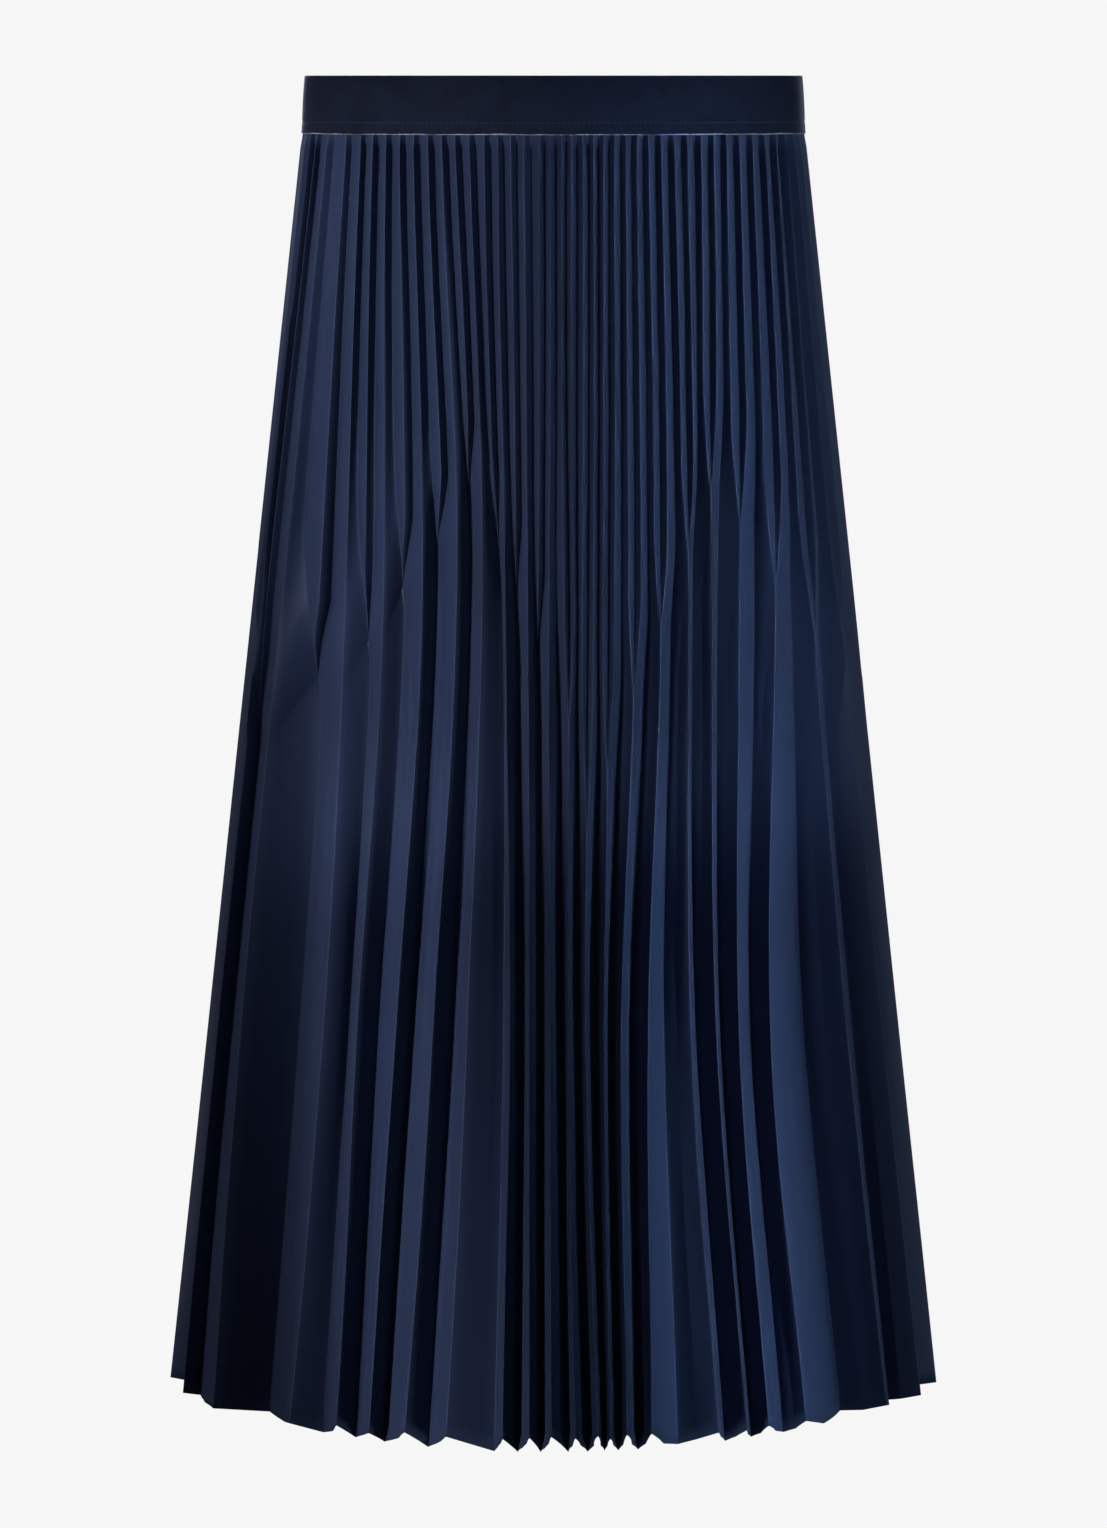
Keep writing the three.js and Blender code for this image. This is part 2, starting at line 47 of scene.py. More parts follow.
BAND_HEIGHT = 32
BAND_WALL = 2
BAND_TOP_NARROWING = 0.986
SEAM_GAP = 0.3
WAIST_HALF_WIDTH = 141
WAIST_HALF_DEPTH = 91
HEM_HALF_WIDTH = 221
HEM_HALF_DEPTH = 134
SECTION_POWER = 2.2
CLOTH_LENGTH = 716
NARROW_FACE = 12
RELEASE_LENGTH = 9
LEAST_DEPTH_SHARE = 0.72  # the least depth of a pleat, as a share of its pitch
INNER_FOLD_DROP = 13  # how much lower the inner folds hang at the middle of the front hem
FRONTNESS_POWER = 2  # how fast that fades towards the side seams
HEM_ZONE = 0.2  # the share of the length, up from the hem, over which it fades
LEFT_TURN_POWER = 40  # how late the front's folds turn with the section, on each side
RIGHT_TURN_POWER = 14
NARROW_LEAN = 0.08  # how far the narrow pleats' valleys lean, as a share of their pitch
LEAN_STEEPNESS = 40
VALLEY_SHIFT = (2.2, 0.8)  # a valley's blend, in openings above and below its join
LEAST_SHARES = (0.18, 0.5)  # the least shares, valley to crest, of a pair's crest and valley
SIDE_PLEATS = 2
BACK_PLEATS = 23
BACK_SWAY = 0.12  # how far the back's crests wander, as a share of their pitch
BACK_SWAY_STEP = 1.9
BACK_SWAY_PHASES = (0, 0.8, 1.7)  # at the join, the knee and the hem
BACK_VALLEY_SWAY = 0.16
BACK_VALLEY_STEP = 2.3
PLAIN_OPEN = 56
KNEE_DOWN = 485
TOP_Z = -BAND_HEIGHT / 2 - SEAM_GAP

# drop and open are in mm down the cloth: where two narrow pleats have become one, and the
# height over which they do. waist, join, knee and hem are where the wide pleat's crest is
# across the front, from -1 to 1. valley is where the valley on its right lies, and into says
# whether the extra crease ends in a valley or in the crest.
# drop, open, waist, join, knee, hem, valley, into
FRONT_PLEATS = [
    (339, 50, -0.905, -0.89, -0.893, -0.867, 0.72, "valley"),
    (303, 46, -0.78, -0.666, -0.65, -0.666, 0.7, "valley"),
    (278, 40, -0.676, -0.546, -0.552, -0.546, 0.52, "valley"),
    (248, 40, -0.568, -0.424, -0.445, -0.46, 0.4, "valley"),
    (224, 40, -0.46, -0.319, -0.335, -0.37, 0.54, "valley"),
    (199, 44, -0.354, -0.238, -0.243, -0.27, 0.84, "valley"),
    (226, 46, -0.242, -0.16, -0.124, -0.128, 0.55, "valley"),
    (254, 44, -0.14, -0.083, -0.069, -0.06, 0.52, "valley"),
    (287, 48, -0.037, -0.015, -0.01, -0.003, 0.7, "valley"),
    (319, 56, 0.05, 0.045, 0.04, 0.055, 0.58, "crest"),
    (380, 70, 0.133, 0.1, 0.09, 0.11, 0.5, "crest"),
    (347, 62, 0.215, 0.165, 0.14, 0.145, 0.46, "crest"),
    (303, 52, 0.3, 0.25, 0.19, 0.185, 0.48, "crest"),
    (265, 46, 0.39, 0.345, 0.266, 0.245, 0.38, "crest"),
    (226, 48, 0.49, 0.444, 0.387, 0.418, 0.2, "crest"),
    (193, 52, 0.595, 0.53, 0.46, 0.487, 0.24, "crest"),
    (213, 56, 0.695, 0.62, 0.525, 0.54, 0.44, "crest"),
    (248, 60, 0.797, 0.725, 0.61, 0.635, 0.44, "crest"),
    (276, 66, 0.89, 0.845, 0.835, 0.846, 0.3, "crest"),
]
# the guessed pleats' joins: place round the section, drop
# round, drop
JOIN_ZIGZAG = [
    (-0.02, 250),
    (0.05, 330),
    (0.45, 280),
    (0.5, 320),
    (0.61, 200),
    (0.74, 360),
    (0.87, 205),
    (0.98, 250),
    (1.05, 330),
]

# ---- sizes of the visual model --------------------------------------------------------------

CLOTH_WALL = 0.7
TUCK_HEIGHT = 5  # the cloth's top edge, above the band's lower edge and behind the band
TUCK_INSET = 2.8
TUCK_PLEAT_DEPTH = 1.6
SEAM_INSET = 0.5
SEAM_PLEAT_DEPTH = 6
CREASE_ROUND = 0.55  # how far from a crease its rounding starts
CREASE_ROUND_MOST = 0.22  # and the most that is of a face's width
CREASE_PULL = 0.45  # how far a crease is pulled towards the line between those two places
TIP_SHARES = (0.01, 0.02)  # where joined creases lie, as shares from valley to crest
PARTED_SHARES = (0.33, 0.67)  # and where they lie once their columns have parted
PARTED_MIDDLE = 0.5  # the same for creases that join into a crest
TIP_SPLIT = 0.35  # how far apart those keep at the join
TIP_FADE = 2.5
TIP_SPREAD = 70  # the height over which the joined creases' columns part again
TAPER_POWER = 1.3
HEM_LIFT = 3  # the most by which a crest's end is higher than the cut, at the hem
TUCK_ROWS = (-TUCK_HEIGHT, -2)
RELEASE_ROWS = (0, 0.12, 0.3, 0.55, 0.8)  # as shares of the release length
NARROW_ROWS = 30
TAPER_ROWS = 20
WIDE_ROWS = 60
FACE_SHARES = (0.27, 0.5, 0.73)
FACE_COLUMNS = len(FACE_SHARES) + 3
BELLY_FACE = 14  # the width of face that takes the whole belly, and the most of it
BELLY_MOST = 1.6
BELLY_MEAN, BELLY_SPREAD, BELLY_WAVE = 0.25, 0.35, 160
BELLY_RELEASE = 2.5  # the belly's release, in release lengths
CREASE_WANDER, CREASE_WAVE = 0.35, 130
NOISE_MARGIN = 20  # how far the smooth noise runs past both ends of the cloth
SHARPEST_MITRE = 0.35
TINY = 1e-6

# places round the section, as shares of its length from the left seam by way of the front
LEFT_SEAM, FRONT_MIDDLE, RIGHT_SEAM, WHOLE_ROUND = 0, 0.25, 0.5, 1
CREASES = 4  # the creases of a pleat while it is narrow

rng = np.random.default_rng(7)


def lerp(a, b, t):
    return a + (b - a) * t


def smooth(low, high, x):
    t = np.clip((x - low) / (high - low), 0, 1)
    return t * t * (3 - 2 * t)


def signed_power(value, power):
    return np.sign(value) * np.abs(value) ** power


# ---- the section ------------------------------------------------------------------------------

RING_ANGLES = np.linspace(0, 2 * np.pi, 2881)


def section_point(angle, half_width, half_depth):
    x = -signed_power(np.cos(angle), 2 / SECTION_POWER) * half_width
    y = -signed_power(np.sin(angle), 2 / SECTION_POWER) * half_depth
    return np.stack([x, y], -1)


def section_normal(point, half_width, half_depth):
    nx = signed_power(point[..., 0] / half_width, SECTION_POWER - 1) / half_width
    ny = signed_power(point[..., 1] / half_depth, SECTION_POWER - 1) / half_depth
    normal = np.stack([nx, ny], -1)
    return normal / np.linalg.norm(normal, axis=-1, keepdims=True)


def measure_ring():
    middle = section_point(
        RING_ANGLES,
        (WAIST_HALF_WIDTH + HEM_HALF_WIDTH) / 2,
        (WAIST_HALF_DEPTH + HEM_HALF_DEPTH) / 2,
    )
    steps = np.linalg.norm(np.diff(middle, axis=0), axis=-1)
    lengths = np.concatenate([[0], np.cumsum(steps)])
    return lengths / lengths[-1]


RING = measure_ring()


def angle_at(share):
    turns = np.floor(share)
    return np.interp(share - turns, RING, RING_ANGLES) + turns * 2 * np.pi


def round_at(across):
    angle = math.acos(-float(signed_power(np.float64(across), SECTION_POWER / 2)))
    return float(np.interp(angle, RING_ANGLES, RING))


def envelope(share, down):
    """Plan point, fold direction and height of the outer envelope of crests."""
    angle = angle_at(share)
    waist = section_point(angle, WAIST_HALF_WIDTH, WAIST_HALF_DEPTH)
    hem = section_point(angle, HEM_HALF_WIDTH, HEM_HALF_DEPTH)
    height = np.sqrt(CLOTH_LENGTH**2 - np.sum((waist - hem) ** 2, -1))
    part = down / CLOTH_LENGTH
    point = lerp(waist, hem, part[..., None])
    half_width = lerp(WAIST_HALF_WIDTH, HEM_HALF_WIDTH, part)
    half_depth = lerp(WAIST_HALF_DEPTH, HEM_HALF_DEPTH, part)
    normal = section_normal(point, half_width, half_depth)
    # at the front the folds run straight back, and turn with the section near the side seams
    power = np.where(point[..., 0] < 0, LEFT_TURN_POWER, RIGHT_TURN_POWER)
    lean = np.where(point[..., 1] < 0, np.abs(point[..., 0] / half_width) ** power, 1)
    direction = np.stack([normal[..., 0] * lean, normal[..., 1]], -1)
    direction /= np.linalg.norm(direction, axis=-1, keepdims=True)
    return point, direction, TOP_Z - height * part


# ---- the pleats -------------------------------------------------------------------------------


def smooth_noise(count, spacing, x):
    """count rows of smooth seeded noise over x, in mm, with its waves about spacing long."""
    knots = int((CLOTH_LENGTH + 2 * NOISE_MARGIN) / spacing) + 4
    values = rng.standard_normal((count, knots))
    at = (x + NOISE_MARGIN) / spacing
    low = np.clip(np.floor(at).astype(int), 0, knots - 2)
    part = at - low
    part = part * part * (3 - 2 * part)
    row = np.arange(count)[:, None]
    return lerp(values[row, low], values[row, low + 1], part)


class Panel:
    """The pleats of one panel, as arrays with a row for each pleat."""

    def __init__(self, pleats, start, end):
        self.start, self.end = start, end
        self.count = len(pleats)
        self.drop = np.array([p["drop"] for p in pleats], float)
        self.open = np.array([p["open"] for p in pleats], float)
        self.valley = np.array([p["valley"] for p in pleats])
        self.into_valley = np.array([p["into"] == "valley" for p in pleats])
        self.keys = np.array(
            [[p["waist"], p["join"], p["knee"], p["hem"]] for p in pleats]
        )
        waist = self.keys[:, 0]
        spread = np.concatenate(
            [[2 * start - waist[0]], waist, [2 * end - waist[-1]]]
        )
        pitch = (spread[2:] - spread[:-2]) / 2
        self.keys[:, 0] += np.where(self.into_valley, pitch / 4, 0)

    def anchor(self, index, down):
        """The crest that goes on to be the wide pleat's, a cubic through its known places."""
        xs = np.array([0, self.drop[index], KNEE_DOWN, CLOTH_LENGTH], float)
        ys = self.keys[index]
        slopes = np.diff(ys) / np.diff(xs)
        at = np.array(
            [slopes[0], (slopes[0] + slopes[1]) / 2, (slopes[1] + slopes[2]) / 2, slopes[2]]
        )
        d = np.clip(down, 0, CLOTH_LENGTH)
        i = np.clip(np.searchsorted(xs, d, side="right") - 1, 0, 2)
        h = xs[i + 1] - xs[i]
        t = (d - xs[i]) / h
        return (
            (2 * t**3 - 3 * t**2 + 1) * ys[i]
            + (t**3 - 2 * t**2 + t) * h * at[i]
            + (3 * t**2 - 2 * t**3) * ys[i + 1]
            + (t**3 - t**2) * h * at[i + 1]
        )

    def near(self, index, down):
        """An anchor, or its mirror image past a side seam."""
        if index < 0:
            return 2 * self.start - self.anchor(0, down)
        if index >= self.count:
            return 2 * self.end - self.anchor(self.count - 1, down)
        return self.anchor(index, down)

    def pitch(self, index, down):
        return (self.near(index + 1, down) - self.near(index - 1, down)) / 2

    def blend(self, index, down):
        t = (down - self.drop[index] + self.open[index]) / self.open[index]
        return np.clip(t, 0, 1) ** TAPER_POWER

    def centre(self, index, down):
        shift = self.pitch(index, down) / 4 if self.into_valley[index] else 0
        return self.anchor(index, down) - shift

    def shift(self, index, down):
        """How far a valley has moved from its narrow place to its wide one, a longer blend."""
        drop, opening = self.drop[index], self.open[index]
        above, below = VALLEY_SHIFT
        return smooth(drop - above * opening, drop + below * opening, down)

    def narrow_lean(self, share):
        """How far a front narrow valley lies from half-way, towards the nearer side seam."""
        if self.start == RIGHT_SEAM:
            return 0
        return NARROW_LEAN * np.tanh((share - FRONT_MIDDLE) * LEAN_STEEPNESS)

    def valley_left(self, index, down):
        if index == 0:
            return np.full_like(down, self.start)
        if index == self.count:
            return np.full_like(down, self.end)
        a, b = index - 1, index
        anchor_a, anchor_b = self.anchor(a, down), self.anchor(b, down)
        if self.into_valley[a]:
            left = anchor_a
        else:
            left = lerp(
                self.centre(a, down) + self.pitch(a, down) / 4,
                anchor_a,
                self.blend(a, down),
            )
        right = self.centre(b, down) - self.pitch(b, down) / 4
        lean = self.narrow_lean(anchor_a)
        narrow = lerp(left, right, 0.5 + lean)
        wide = lerp(left, anchor_b, self.valley[a])
        return lerp(narrow, wide, self.shift(b, down))

    def valley_depth(self, index, down):
        a = min(max(index - 1, 0), self.count - 1)
        b = min(index, self.count - 1)
        span = (self.near(index, down) - self.near(index - 1, down)) * arc_scale(down)
        if index in (0, self.count):
            span = self.pitch(b, down) * arc_scale(down)
        narrow = fold_depth(2 * NARROW_FACE, span / 2)
        wide = fold_depth(4 * NARROW_FACE, span)
        if self.into_valley[b]:
            merged = self.blend(b, down)
        else:
            merged = (self.blend(a, down) + self.blend(b, down)) / 2
        return narrow, lerp(narrow, wide, merged)

    def rows(self, index):
        drop, opening = self.drop[index], self.open[index]
        return np.concatenate(
            [
                TUCK_ROWS,
                np.array(RELEASE_ROWS) * RELEASE_LENGTH,
                np.linspace(RELEASE_LENGTH, drop - opening, NARROW_ROWS)[:-1],
                np.linspace(drop - opening, drop, TAPER_ROWS),
                [drop + TIP_FADE],
                np.linspace(drop + TIP_FADE, CLOTH_LENGTH, WIDE_ROWS + 1)[1:],
            ]
        )


def perimeter(half_width, half_depth):
    ring = section_point(RING_ANGLES, half_width, half_depth)
    return np.linalg.norm(np.diff(ring, axis=0), axis=-1).sum()


WAIST_ROUND = perimeter(WAIST_HALF_WIDTH, WAIST_HALF_DEPTH)
HEM_ROUND = perimeter(HEM_HALF_WIDTH, HEM_HALF_DEPTH)


def arc_scale(down):
    return lerp(WAIST_ROUND, HEM_ROUND, down / CLOTH_LENGTH)


def fold_depth(cloth, pitch):
    square = (cloth / 2) ** 2 - (pitch / 2) ** 2
    return np.sqrt(np.maximum(square, (pitch * LEAST_DEPTH_SHARE) ** 2))


def zigzag_drop(share):
    corners = np.array(JOIN_ZIGZAG)
    return float(np.interp(share, corners[:, 0], corners[:, 1]))


def plain_pleat(places, into, valley=0.5):
    waist, join, knee, hem = places
    return dict(
        drop=zigzag_drop(join), open=PLAIN_OPEN, waist=waist, join=join, knee=knee,
        hem=hem, valley=valley, into=into,
    )


def front_pleats():
    table = []
    for drop, opening, waist, join, knee, hem, valley, into in FRONT_PLEATS:
        table.append(
            dict(
                drop=drop, open=opening, waist=round_at(waist), join=round_at(join),
                knee=round_at(knee), hem=round_at(hem), valley=valley, into=into,
            )
        )
    left, right = [], []
    for i in range(1, SIDE_PLEATS + 1):
        share = i / (SIDE_PLEATS + 0.5)
        for side, origin, seam, into in (
            (left, table[0], LEFT_SEAM, "valley"),
            (right, table[-1], RIGHT_SEAM, "crest"),
        ):
            places = [
                lerp(origin[k], seam, share) for k in ("waist", "join", "knee", "hem")
            ]
            side.append(plain_pleat(places, into))
    return left[::-1] + table + right


def back_pleats():
    pleats = []
    for i in range(BACK_PLEATS):
        even = lerp(RIGHT_SEAM, WHOLE_ROUND, (i + 0.5) / BACK_PLEATS)
        sway = BACK_SWAY * 0.5 / BACK_PLEATS
        places = [even]
        for phase in BACK_SWAY_PHASES:
            places.append(even + sway * math.sin(i * BACK_SWAY_STEP + phase))
        into = "valley" if i < BACK_PLEATS / 2 else "crest"
        valley = 0.5 + BACK_VALLEY_SWAY * math.sin(i * BACK_VALLEY_STEP)
        pleats.append(plain_pleat(places, into, valley))
    return pleats


def skeleton(panel):
    """The creases as rows by creases: points, strengths as crest and valley, and drops."""
    rows = [panel.rows(i) for i in range(panel.count)]
    wander = smooth_noise(CREASES * panel.count + 1, CREASE_WAVE, rows[0][None, :])
    wander *= CREASE_WANDER
    points, crests, valleys, downs = [], [], [], []

    def place(share, inset, down, wave, is_crest, is_valley, own):
        d = np.maximum(down, 0)
        open_up = smooth(0, RELEASE_LENGTH, down)
        tuck = np.clip(-down / TUCK_HEIGHT, 0, 1)
        base = lerp(SEAM_INSET * (1 - open_up), TUCK_INSET, tuck)
        full = np.maximum(own, TINY)
        seam_depth = lerp(SEAM_PLEAT_DEPTH, TUCK_PLEAT_DEPTH, tuck)
        inset = lerp(inset / full * seam_depth, inset, open_up) + base
        share = share + wave * MM * open_up
        point, direction, z = envelope(share, d)
        plan = point - direction * inset[:, None]
        bow = np.sin(2 * np.pi * share) ** FRONTNESS_POWER
        frontness = np.where(share < RIGHT_SEAM, bow, 0)
        near_hem = np.clip((d / CLOTH_LENGTH - 1 + HEM_ZONE) / HEM_ZONE, 0, 1)
        z = z - np.minimum(down, 0)
        z = z - INNER_FOLD_DROP * frontness * near_hem * inset / full
        z = z + HEM_LIFT * rng.random() * near_hem * is_crest
        points.append(np.stack([plan[:, 0], plan[:, 1], z], -1))
        crests.append(is_crest)
        valleys.append(is_valley)
        downs.append(down)

    for i in range(panel.count + 1):
        own = rows[min(i, panel.count - 1)]
        if i == 0 or i == panel.count or panel.into_valley[i]:
            shared = own
        else:
            shared = (rows[i - 1] + own) / 2
        d = np.maximum(shared, 0)
        valley = panel.valley_left(i, d)
        _, depth = panel.valley_depth(i, d)
        one = np.ones_like(own)
        zero = np.zeros_like(own)
        wave = zero if i in (0, panel.count) else wander[CREASES * i]
        place(valley, depth, shared, wave, zero, one, depth)
        if i == panel.count:
            break
        d = np.maximum(own, 0)
        blend = panel.blend(i, d)
        anchor = panel.anchor(i, d)
        pitch = panel.pitch(i, d)
        centre = panel.centre(i, d)
        left_valley = panel.valley_left(i, d)
        right_valley = panel.valley_left(i + 1, d)
        narrow, left_depth = panel.valley_depth(i, d)
        _, right_depth = panel.valley_depth(i + 1, d)
        past = np.clip((d - panel.drop[i]) / TIP_FADE, 0, 1)
        parted = smooth(0, TIP_SPREAD, d - panel.drop[i])
        lean = panel.narrow_lean(anchor)
        narrow_crest = 1 - past
        split = TIP_SPLIT / arc_scale(d)
        if panel.into_valley[i]:
            wave = wander[CREASES * i + 3]
            least_outer, least_inner = (lerp(left_valley, anchor, s) for s in LEAST_SHARES)
            inner = np.maximum(centre + lean * pitch / 2, least_inner)
            outer = np.maximum(centre - pitch / 4, least_outer)
            first_at = lerp(TIP_SHARES[0], PARTED_SHARES[0], parted)
            second_at = lerp(TIP_SHARES[1], PARTED_SHARES[1], parted)
            q_tip = lerp(left_valley, anchor, first_at)
            c_tip = lerp(left_valley, anchor, second_at)
            q = lerp(outer, q_tip, blend)
            c = lerp(inner, c_tip, blend)
            q_inset = lerp(0, left_depth * (1 - first_at), blend)
            c_inset = lerp(narrow, left_depth * (1 - second_at), blend)
            place(q, q_inset, own, wave, narrow_crest, zero, left_depth)
            place(c, c_inset, own, wave, zero, narrow_crest, left_depth)
            place(anchor, zero, own, wave, one, zero, left_depth)
        else:
            wave = wander[CREASES * i + 2]
            inner = centre + lean * pitch / 2
            side_at = lerp(1, PARTED_MIDDLE, parted)
            q_tip = lerp(left_valley, anchor - split, side_at)
            t_tip = lerp(right_valley, anchor + split, side_at)
            q = lerp(centre - pitch / 4, q_tip, blend)
            t = lerp(centre + pitch / 4, t_tip, blend)
            c = lerp(inner, anchor, blend)
            q_inset = left_depth * (1 - side_at)
            t_inset = right_depth * (1 - side_at)
            place(q, q_inset, own, wave, narrow_crest, zero, left_depth)
            place(c, lerp(narrow, 0, blend), own, wave, past, narrow_crest, left_depth)
            place(t, t_inset, own, wave, narrow_crest, zero, left_depth)
    return (
        np.stack(points, 1),
        np.stack(crests, 1),
        np.stack(valleys, 1),
        np.stack(downs, 1),
    )


def mitred(points, wall):
    """The creases of the wall's other side, moved square to both faces in plan."""
    plan = points[..., :2]
    edge = np.diff(plan, axis=1)
    normal = np.stack([-edge[..., 1], edge[..., 0]], -1)
    normal /= np.maximum(np.linalg.norm(normal, axis=-1, keepdims=True), TINY)
    before = np.concatenate([normal[:, :1], normal], 1)
    after = np.concatenate([normal, normal[:, -1:]], 1)
    bisector = before + after
    bisector /= np.maximum(np.linalg.norm(bisector, axis=-1, keepdims=True), TINY)
    reach = wall / np.maximum(np.sum(bisector * before, -1), SHARPEST_MITRE)
    moved = points.copy()
    moved[..., :2] += bisector * reach[..., None]
    return moved


def subdivided(points, crests, valleys, downs, bulge):
    """Each face between two creases in columns, with its creases rounded."""
    rows, creases = points.shape[:2]
    start, end = points[:, :-1], points[:, 1:]
    along = end - start
    length = np.linalg.norm(along, axis=-1)
    edge = np.minimum(CREASE_ROUND / np.maximum(length, TINY), CREASE_ROUND_MOST)
    side = np.stack([-along[..., 1], along[..., 0], np.zeros_like(length)], -1)
    side /= np.maximum(np.linalg.norm(side, axis=-1, keepdims=True), TINY)
    size = bulge * np.minimum(length / BELLY_FACE, BELLY_MOST)
    shares = [np.zeros_like(edge), edge]
    shares += [np.full_like(edge, s) for s in FACE_SHARES]
    shares += [1 - edge]
    columns = []
    for share in shares:
        belly = 4 * share * (1 - share)
        at = start + along * share[..., None]
        columns.append(at - side * (belly * size)[..., None])
    grid = np.stack(columns, 2).reshape(rows, -1, 3)
    grid = np.concatenate([grid, points[:, -1:]], 1)
    crease = np.arange(1, creases - 1) * FACE_COLUMNS
    ends = (grid[:, crease - 1] + grid[:, crease + 1]) / 2
    grid[:, crease] = lerp(grid[:, crease], ends, CREASE_PULL)
    fields = {}
    for name, field in (("crest", crests), ("valley", valleys)):
        full = np.zeros(grid.shape[:2])
        full[:, ::FACE_COLUMNS] = field
        fields[name] = full
    share = np.stack(shares, 2)
    down = lerp(downs[:, :-1, None], downs[:, 1:, None], share).reshape(rows, -1)
    fields["down"] = np.concatenate([down, downs[:, -1:]], 1)
    across = (np.arange(creases - 1)[None, :, None] + share).reshape(rows, -1)
    across = np.concatenate([across, np.full((rows, 1), creases - 1.0)], 1)
    fields["across"] = across * NARROW_FACE
    return grid, fields


def add_mesh(name, points, polygons):
    """A smooth mesh from points in mm, in the scene."""
    mesh = bpy.data.meshes.new(name)
    mesh.from_pydata((points * MM).tolist(), [], polygons)
    mesh.polygons.foreach_set("use_smooth", [True] * len(mesh.polygons))
    mesh.update()
    obj = bpy.data.objects.new(name, mesh)
    bpy.context.scene.collection.objects.link(obj)
    return obj


def panel_mesh(name, panel, seam_y):
    """A pleated panel: its outer side, its coarser inner side and the edges between them."""
    points, crests, valleys, downs = skeleton(panel)
    points[:, 0, 1] = seam_y
    points[:, -1, 1] = seam_y
    faces = points.shape[1] - 1
    bulge = smooth_noise(faces, BELLY_WAVE, downs[:, :1].T).T * BELLY_SPREAD + BELLY_MEAN
    bulge = bulge * smooth(0, BELLY_RELEASE * RELEASE_LENGTH, downs[:, :-1])
    outer, fields = subdivided(points, crests, valleys, downs, bulge)
    back = mitred(points, CLOTH_WALL)
    back[:, 0, 1] = seam_y
    back[:, -1, 1] = seam_y
    inner, _ = subdivided(back, crests, valleys, downs, bulge)
    if (outer.shape[0] - 1) % 2:
        raise ValueError("the cloth needs an even number of row steps")
    inner = inner[::2]
    rows, columns = outer.shape[:2]
    half = inner.shape[0]
    base = rows * columns
    out = np.arange(base).reshape(rows, columns)
    ins = base + np.arange(half * columns).reshape(half, columns)

    def quads(grid, flip):
        a, b = grid[:-1, :-1], grid[1:, :-1]
        c, d = grid[1:, 1:], grid[:-1, 1:]
        order = (a, d, c, b) if flip else (a, b, c, d)
        return np.stack(order, -1).reshape(-1, 4).tolist()

    polygons = quads(out, False) + quads(ins, True)
    for c in range(columns - 1):
        polygons.append([out[0, c], out[0, c + 1], ins[0, c + 1], ins[0, c]])
        polygons.append([out[-1, c], ins[-1, c], ins[-1, c + 1], out[-1, c + 1]])
    for r in range(half - 1):
        a, b, c = out[2 * r : 2 * r + 3, 0]
        polygons.append([a, ins[r, 0], ins[r + 1, 0], c, b])
        a, b, c = out[2 * r : 2 * r + 3, -1]
        polygons.append([a, b, c, ins[r + 1, -1], ins[r, -1]])
    verts = np.concatenate([outer.reshape(-1, 3), inner.reshape(-1, 3)])
    obj = add_mesh(name, verts, [[int(v) for v in p] for p in polygons])
    mesh = obj.data
    both = {
        key: np.concatenate([f.reshape(-1), f[::2].reshape(-1)])
        for key, f in fields.items()
    }
    for key in ("crest", "valley"):
        layer = mesh.attributes.new(key, "FLOAT", "POINT")
        layer.data.foreach_set("value", both[key].astype(np.float32))
    uv = np.stack([both["across"], both["down"]], -1) * MM
    loops = np.empty(len(mesh.loops), np.int32)
    mesh.loops.foreach_get("vertex_index", loops)
    layer = mesh.uv_layers.new(name="cloth")
    layer.data.foreach_set("uv", uv[loops].reshape(-1).astype(np.float32))
    mesh.update()
    return obj


# ---- the waistband ----------------------------------------------------------------------------

BAND_STATIONS = 736
EDGE_STATIONS = 1472
EDGE_LOW = 0.1  # how far the woven edge starts under the velvet
EDGE_HEIGHTS = (0.12, 0.5, 0.95)  # its least, usual and greatest height
BAND_BELLY = 0.25
GROOVE_DEPTH, GROOVE_HALF_WIDTH = 0.45, 0.5
STITCH_UP = 6.5
STITCH_COUNT = 264
STITCH_LENGTH = 1.9
STITCH_RADIUS = 0.17
STITCH_SUNK = 0.28
STITCH_RISE = 0.16
STITCH_STEPS, STITCH_SIDES = 7, 6
# waves round the band and their sizes in mm
BAND_RIPPLES = ((9, 0.16), (23, 0.12), (41, 0.1), (77, 0.06))
EDGE_RIPPLES = ((5, 0.12), (13, 0.14), (31, 0.12), (67, 0.08), (173, 0.05))
RIPPLE_SHARE, RIPPLE_LEAST = 0.6, -0.3


def band_face(angle, z):
    """Plan points and outward normals of the band's face at one height."""
    size = lerp(1, BAND_TOP_NARROWING, (z + BAND_HEIGHT / 2) / BAND_HEIGHT)
    half_width, half_depth = WAIST_HALF_WIDTH * size, WAIST_HALF_DEPTH * size
    point = section_point(angle, half_width, half_depth)
    return point, section_normal(point, half_width, half_depth)


def ripples(share, waves_and_sizes):
    total = np.zeros(len(share))
    for waves, size in waves_and_sizes:
        total += size * np.sin(2 * np.pi * (waves * share + rng.random()))
    return total


def band_ring(profile, share):
    """A closed ring of a cross-section's points, each an inset from the face and a height."""
    angle = angle_at(share)
    grid = np.empty((len(share), len(profile), 3))
    for j, (inset, z) in enumerate(profile):
        point, normal = band_face(angle, z)
        grid[:, j, :2] = point - normal * inset
        grid[:, j, 2] = z
    return grid


def ring_mesh(name, grid):
    stations, count = grid.shape[:2]
    index = np.arange(stations * count).reshape(stations, count)
    a = index
    b = np.roll(index, -1, 0)
    c = np.roll(b, -1, 1)
    d = np.roll(a, -1, 1)
    polygons = np.stack([a, b, c, d], -1).reshape(-1, 4).tolist()
    return add_mesh(name, grid.reshape(-1, 3), polygons)


